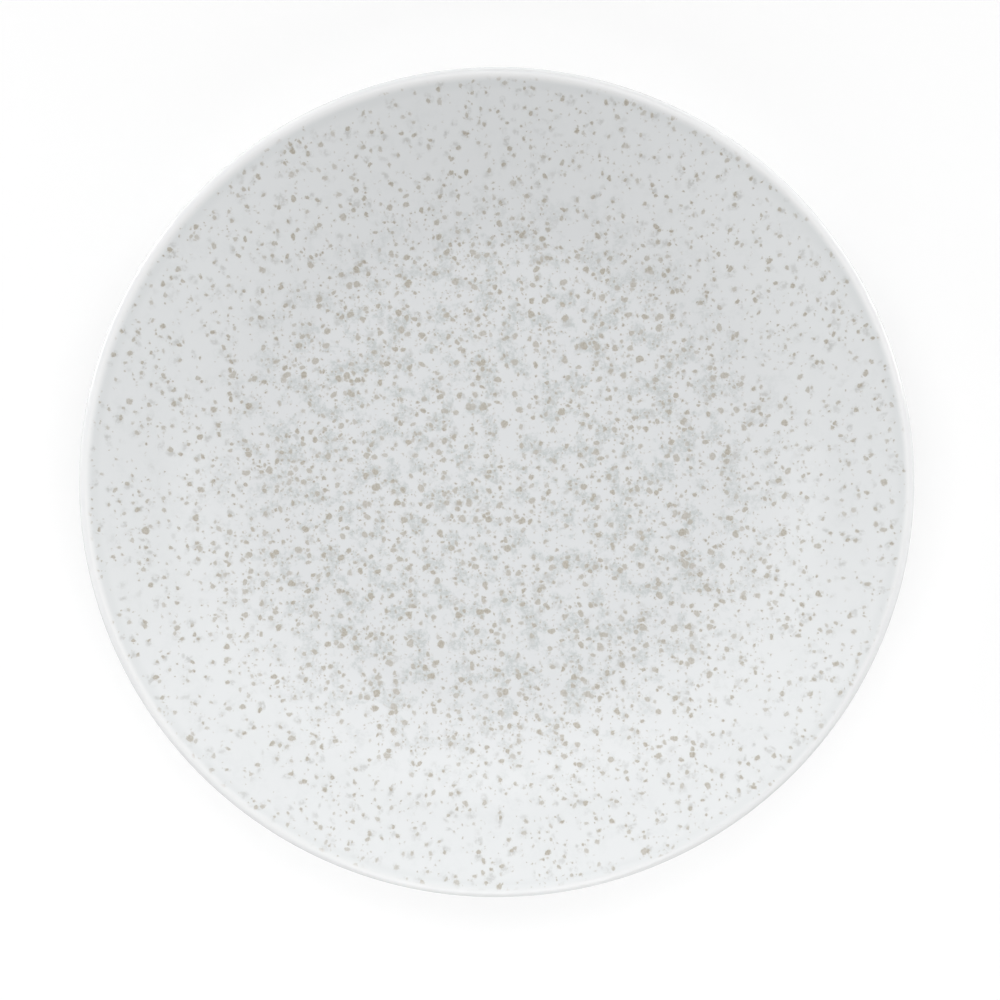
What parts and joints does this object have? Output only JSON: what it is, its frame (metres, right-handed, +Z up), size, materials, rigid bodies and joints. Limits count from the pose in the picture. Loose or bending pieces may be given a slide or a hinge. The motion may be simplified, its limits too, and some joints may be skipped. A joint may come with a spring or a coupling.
{
  "type": "coupe dinner plate",
  "caption": "Rimless round dinner plate with a nearly level well, a curved side rising to a rounded lip, a speckled face under glaze and a foot ring to stand on.",
  "frame": {"origin": "centre of the plate in the plane of the foot land, which is the surface that it stands on", "axes": "+Z up along the plate's axis; X and Y are alike, because the plate is round"},
  "size_m": [0.26, 0.26, 0.025],
  "materials": {
    "bare_clay": "matte",
    "white_glaze": "gloss",
    "speckled_glaze": "gloss"
  },
  "bodies": {
    "root": {"body": "bare_clay", "glaze_coat": "white_glaze", "base_glaze": "white_glaze", "speckle_print": "speckled_glaze"}
  },
  "joints": []
}
